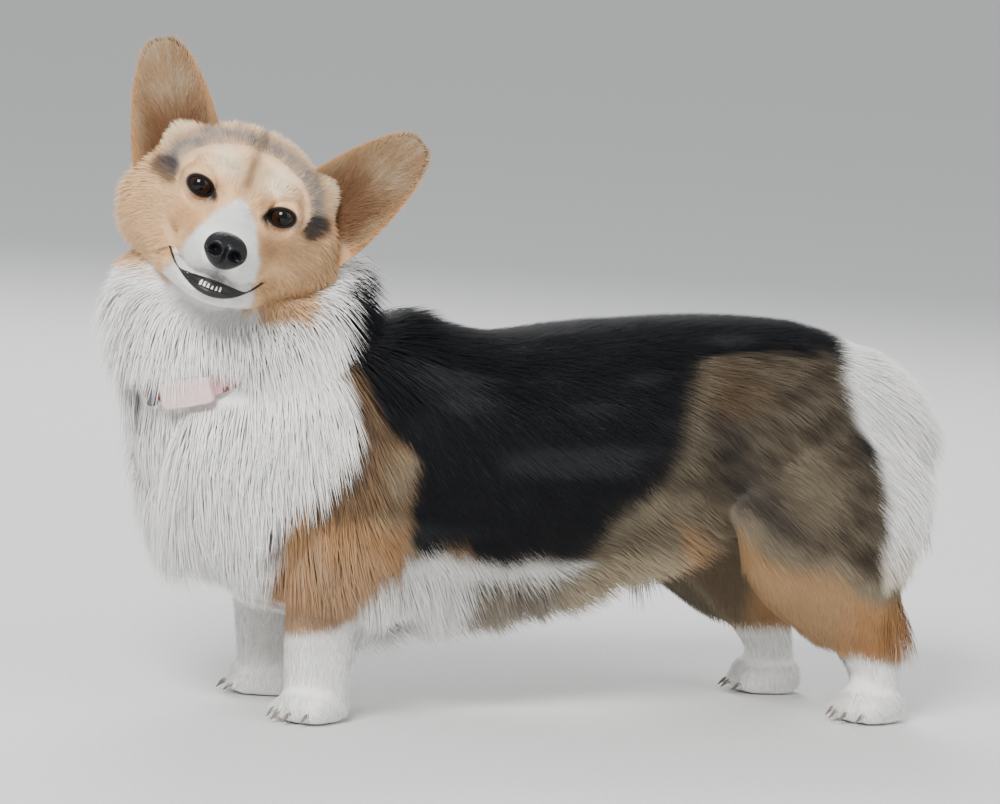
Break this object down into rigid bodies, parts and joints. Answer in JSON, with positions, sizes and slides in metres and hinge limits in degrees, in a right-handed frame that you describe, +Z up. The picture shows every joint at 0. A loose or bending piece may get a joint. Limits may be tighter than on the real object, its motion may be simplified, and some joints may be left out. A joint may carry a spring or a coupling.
{
  "type": "standing corgi dog model",
  "caption": "Life-size still model of a standing Pembroke Welsh corgi, head turned to its left, erect ears, short legs, full coat, bobtail and a collar.",
  "frame": {"origin": "on the floor, under the middle of the model's bounding box", "axes": "+Z up, -X towards the chest, -Y towards the dog's left side, which its head is turned to"},
  "size_m": [0.6284, 0.241, 0.4569],
  "materials": {
    "coat_white": "long soft hair, white",
    "coat_black": "dense hair, black with a bluish sheen",
    "coat_tan": "short dense hair, orange tan",
    "collar_fabric": "woven band, pink",
    "buckle_plastic": "moulded, pale pink",
    "slide_metal": "dark metal",
    "eye_dark": "polished, dark brown",
    "nose_skin": "damp pebbled skin, black",
    "lip_skin": "smooth skin, black"
  },
  "bodies": {
    "root": {"forepaw_left": "coat_white", "hindpaw_left": "coat_white", "foreleg_left": "coat_tan", "hindleg_left": "coat_tan", "forepaw_right": "coat_white", "hindpaw_right": "coat_white", "foreleg_right": "coat_tan", "hindleg_right": "coat_tan", "chest": "coat_white", "barrel": "coat_black", "rump": "coat_black", "tail": "coat_white", "collar_band": "collar_fabric", "collar_buckle": "buckle_plastic", "collar_slide": "slide_metal", "eye_left": "eye_dark", "ear_left": "coat_tan", "eye_right": "eye_dark", "ear_right": "coat_tan", "nose": "nose_skin", "head": "coat_tan", "lips": "lip_skin", "jaw": "coat_white", "neck": "coat_white"}
  },
  "joints": []
}
